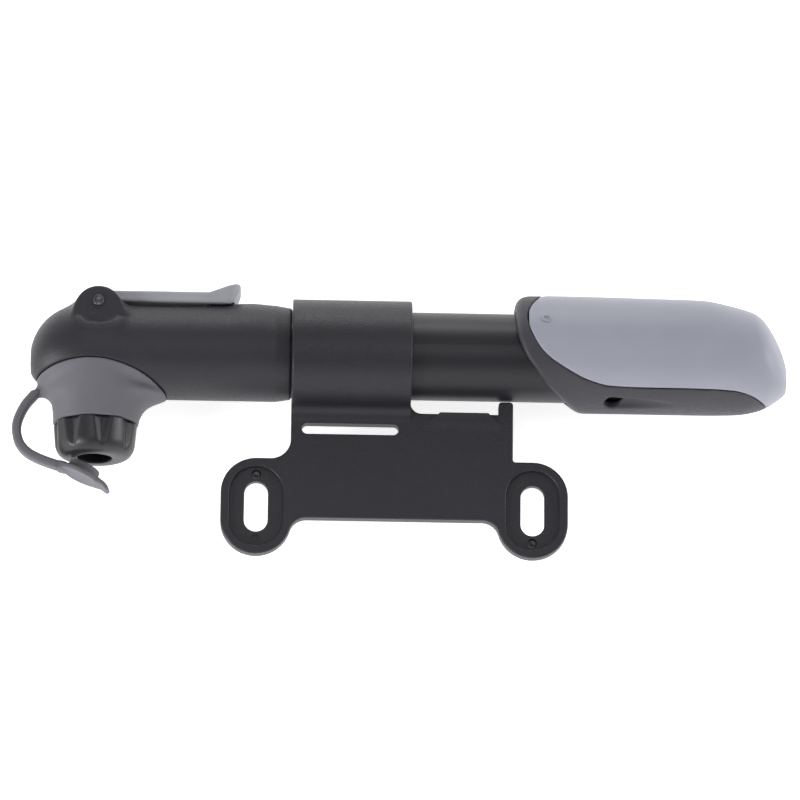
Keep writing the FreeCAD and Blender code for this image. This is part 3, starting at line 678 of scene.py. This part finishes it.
def cover(x, y, z):
    """Soft cover over the top and the end of the grip."""
    form = grip_form(x, y, z)
    outside = polygon(x, tilted(y, z)[0], COVER_AREA)
    d = blend_max(form, outside + 0.03, 0.4)
    return np.maximum(d, -(form + COVER_T))


def vent(x, y, z):
    """Vent hole square to the skin, and the groove that runs out of it towards the grip's end."""
    out = np.array((0, -math.sin(VENT_TURN), math.cos(VENT_TURN)))
    seat = np.array(VENT_MIDDLE) + VENT_OUT * out
    hole = capsule(x, y, z, seat - 5 * out, seat + 5 * out, VENT_R)
    away = np.array((math.cos(GROOVE_RISE), 0, 0)) + out * math.sin(GROOVE_RISE)
    start = seat + GROOVE_DEPTH * out
    return union(hole, capsule(x, y, z, start, start + GROOVE_LENGTH * away, VENT_R))


def shell(x, y, z):
    """Grip sleeve with a slanted mouth; it steps down under the cover."""
    form = grip_form(x, y, z) + SHELL_INSET
    up = tilted(y, z)[0]
    under_cover = np.maximum(polygon(x, up, COVER_AREA) - 0.02, -(form + COVER_T))
    d = blend_max(form, -under_cover, 0.2)
    d = blend_max(d, -polygon(x, up, MOUTH_AREA), 1.0 + 2.8 * np.clip((up - 2) / 8, 0, 1))
    d = blend_max(d, -rod_x(x, y, z, *BARREL_ROOM), 0.3)
    d = np.maximum(d, -union(rod_x(x, y, z, *SCREW_ROOM), rod_x(x, y, z, *ROD_NECK_ROOM)))
    return blend_max(d, -vent(x, y, z), 0.3)


GATE_X = 103.9
GATE_UP = 9.3                  # height in the grip's own upright plane
GATE_SKIN_R = 13.7             # radius and middle height of the cover's skin there
GATE_MIDDLE = 1.0
GATE_R = 0.85
GATE_RIM = 0.16


def gate_mark():
    """Small flattened ring left by the mould on the cover, near its front end."""
    c, s = math.cos(GRIP_TILT), math.sin(GRIP_TILT)
    depth = math.sqrt(GATE_SKIN_R ** 2 - (GATE_UP - GATE_MIDDLE * c) ** 2)
    centre = Vector((GATE_X, GATE_UP * c - depth * s, GATE_UP * s + depth * c))
    axis = Vector((0, centre.y - GATE_MIDDLE, centre.z)).normalized()
    side = axis.orthogonal().normalized()
    other = axis.cross(side)
    rings = []
    for turn_c, turn_s in full_turn(40):
        out = side * turn_c + other * turn_s
        rings.append([centre + out * (GATE_R + GATE_RIM * rim_c) + axis * (0.6 * GATE_RIM * rim_s)
                      for rim_c, rim_s in full_turn(8)])
    new_object("gate_mark", *skin(rings, closed=True), "handle", "handle_cover")


# ---- strap and dust cap ----
STRAP_ROUTE = smooth_curve([(-13.4, -9.8), (-14.6, -11.3), (-16.4, -13.6), (-17.9, -16.95), (-18.2, -19.7),
                            (-17.4, -22.7), (-15.5, -24.9), (-12.5, -26.5), (-8.8, -27.8), (-7.2, -28.3)], 4)
STRAP_R = 1.08
CAP_TILT = math.radians(24)
CAP_TOP = (-2.0, -27.9)
PLUG_R = 3.7
PLUG_BORE = 2.7
DISC_R = 5.1
TAB_SIDE = ((3.6, -1.9), (5.4, -2.0), (6.7, -2.4), (8.1, -3.5), (7.5, -3.8), (5.6, -3.1), (3.6, -2.9))


def along(x, y, route):
    return to_line(x, y, route, route[1:])


def strap(x, y, z):
    return blend_max(along(x, y, STRAP_ROUTE) - STRAP_R, np.abs(z) - STRAP_HALF, 0.9)


def dust_cap(x, y, z):
    """Hollow plug on a domed disc, with a pull tab and the strap's end moulded on."""
    c, s = math.cos(CAP_TILT), math.sin(CAP_TILT)
    dx, dy = x - CAP_TOP[0], y - CAP_TOP[1]
    u, v = dx * c - dy * s, dx * s + dy * c
    r = np.hypot(u, z)
    plug = blend_max(r - PLUG_R, np.abs(v + 0.9) - 0.9, 0.5)
    plug = np.maximum(plug, -blend_max(r - PLUG_BORE, -v - 1.2, 0.4))
    disc = blend_max(r - DISC_R, np.abs(v + 2.15 + 0.012 * r ** 2) - 0.62, 0.5)
    tab = blend_max(polygon(u, v, TAB_SIDE), np.hypot(u - 3.0, z * 1.6) - 5.2, 0.5)
    tail = blend_max(along(x, y, STRAP_ROUTE[-9:]) - STRAP_R - 0.04, np.abs(z) - STRAP_HALF - 0.04, 0.9)
    d = blend_min(blend_min(plug, disc, 0.35), tab, 0.6)
    return blend_min(d, tail, 1.2)


# ---- bracket ----
EJECTOR_PADS = ((-0.032, 0.0077), (0.032, -0.0077))    # centres, metres in the frame
EJECTOR_R = 0.00105
EJECTOR_Z = 0.00114
EJECTOR_RINGS = ((1.0, 0.00002), (0.82, 0.00008), (0.5, 0.00003), (0.12, 0.00001))    # share of radius, rise


def ejector_shade_pads():
    """Slightly dished pads on the marks left by the mould's ejector pins in the bracket's recesses; their
    near-black colour is painted shade for the shadow in those recesses.
    """
    turn = full_turn(32)
    for x, y in EJECTOR_PADS:
        rings = [[(x + EJECTOR_R * part * c, y + EJECTOR_R * part * s, EJECTOR_Z + rise) for c, s in turn]
                 for part, rise in EJECTOR_RINGS]
        points, faces = skin(rings)
        faces = [face[::-1] for face in faces]
        last = len(points) - len(turn)
        faces.append(tuple(last + i for i in range(len(turn))))
        millimetres = (points - np.array(ORIGIN)) / MM
        pad = new_object("ejector_shade_pad", millimetres, faces, "bracket", "bracket")
        # The pad's near-black colour is painted shade for the recess, not the bracket's own colour.
        pad.data.materials[0] = EJECTOR_SHADE


def build_pieces():
    ejector_shade_pads()
    solid("housing", housing, "head_housing", 0.36, "pump", "housing")
    solid("shroud", shroud, "nozzle_shroud", 0.3, "pump", "boot_rubber")
    solid("collar", collar, "valve_collar", 0.22, "collar", "collar")
    solid("lever", lever, "lock_lever", 0.25, "lever", "lever")
    pin()
    valve_spring()
    solid("cover", cover, "handle_cover", 0.4, "handle", "handle_cover")
    solid("shell", shell, "handle_shell", 0.4, "handle", "handle_shell", ahead=0.5)
    gate_mark()
    tether = solid("strap", strap, "cap_strap", 0.22, None, "boot_rubber")
    cap = solid("cap", dust_cap, "dust_cap", 0.2, None, "boot_rubber")
    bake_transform(tether)
    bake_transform(cap)


# ---- floor, light and camera ----
FLOOR_HALF = 3.0
FLOOR_DROP = 0.0002            # below the object, so that nothing shares its plane

# Name, place, the point it faces, size and power.
LIGHTS = (
    ("key", (-0.1, 1.2, 0.5), (0, 0, 0), 0.45, 3.2),
    ("fill", (0.2, -0.9, 0.5), (0, 0, 0), 0.7, 1.2),
    ("top", (-0.1, 0.1, 1.3), (0, 0, 0), 0.6, 1.9),
    ("left", (-0.75, -0.4, 0.4), (-0.07, 0.03, 0), 0.35, 5.0),
    ("right", (0.9, 0.1, 0.35), (0.08, 0.04, 0), 0.4, 3.2),
)
SKY = ((0.1, (1, 1, 1, 1)), (0.85, (0.22, 0.22, 0.23, 1)))    # from low down to overhead

VIEW_ELEVATION = math.radians(73.6)
VIEW_TURN = math.radians(-1.5)
VIEW_ROLL = math.radians(0.6)
VIEW_DISTANCE = 1.2
VIEW_ACROSS = 0.1864           # width that the picture takes in at the target
VIEW_TARGET = Vector((0.0011, 0.0266, 0.0005))
SENSOR = 36.0


def floor():
    low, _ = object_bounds()
    z = low.z - FLOOR_DROP
    corners = [(x * FLOOR_HALF, y * FLOOR_HALF, z) for x, y in ((-1, -1), (1, -1), (1, 1), (-1, 1))]
    mesh = bpy.data.meshes.new("floor")
    mesh.from_pydata(corners, [], [(0, 1, 2, 3)])
    obj = bpy.data.objects.new("floor", mesh)
    bpy.context.scene.collection.objects.link(obj)
    m = Mat("floor_paper", 0.9, specular=0.1)
    m.color(m.ramp(m.noise(40, 2.0), ((0.3, 0.86), (0.7, 0.9))))
    m.bsdf.inputs["Emission Color"].default_value = (1, 1, 1, 1)
    m.bsdf.inputs["Emission Strength"].default_value = 0.75
    mesh.materials.append(m.mat)
    obj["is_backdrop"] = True


def area_light(name, where, aim, size, power):
    light = bpy.data.lights.new(name, "AREA")
    light.shape = "DISK"
    light.size = size
    light.energy = power
    obj = bpy.data.objects.new(name, light)
    bpy.context.scene.collection.objects.link(obj)
    obj.location = where
    obj.rotation_mode = "QUATERNION"
    obj.rotation_quaternion = (Vector(aim) - Vector(where)).to_track_quat("-Z", "Y")


def lights():
    """Large soft lights, and a sky that is brighter low down than overhead."""
    for light in LIGHTS:
        area_light(*light)
    world = bpy.data.worlds.new("studio")
    world.use_nodes = True
    tree = world.node_tree
    coord = tree.nodes.new("ShaderNodeTexCoord").outputs["Generated"]
    split = tree.nodes.new("ShaderNodeSeparateXYZ")
    tree.links.new(coord, split.inputs["Vector"])
    ramp = tree.nodes.new("ShaderNodeValToRGB")
    tree.links.new(split.outputs["Z"], ramp.inputs["Fac"])
    for stop, (position, color) in zip(ramp.color_ramp.elements, SKY):
        stop.position = position
        stop.color = color
    tree.links.new(ramp.outputs["Color"], tree.nodes["Background"].inputs["Color"])
    tree.nodes["Background"].inputs["Strength"].default_value = 1.0
    bpy.context.scene.world = world
    bpy.context.scene.view_settings.view_transform = "Standard"


def camera():
    """Looks from the nozzle's side, 74 degrees above the bracket's plate and a little from the left."""
    level = math.cos(VIEW_ELEVATION)
    steep = math.sin(VIEW_ELEVATION)
    back = Vector((math.sin(VIEW_TURN) * steep, -level, math.cos(VIEW_TURN) * steep)).normalized()
    level_right = Vector((0, 1, 0)).cross(back).normalized()
    level_up = back.cross(level_right)
    right = level_right * math.cos(VIEW_ROLL) + level_up * math.sin(VIEW_ROLL)
    up = level_up * math.cos(VIEW_ROLL) - level_right * math.sin(VIEW_ROLL)
    eye = VIEW_TARGET + back * VIEW_DISTANCE
    cam = bpy.data.cameras.new("camera")
    cam.sensor_width = SENSOR
    cam.lens = SENSOR * VIEW_DISTANCE / VIEW_ACROSS
    obj = bpy.data.objects.new("camera", cam)
    bpy.context.scene.collection.objects.link(obj)
    obj.matrix_world = Matrix((
        (right.x, up.x, back.x, eye.x),
        (right.y, up.y, back.y, eye.y),
        (right.z, up.z, back.z, eye.z),
        (0, 0, 0, 1)))
    bpy.context.scene.camera = obj


build_pieces()
floor()
lights()
camera()
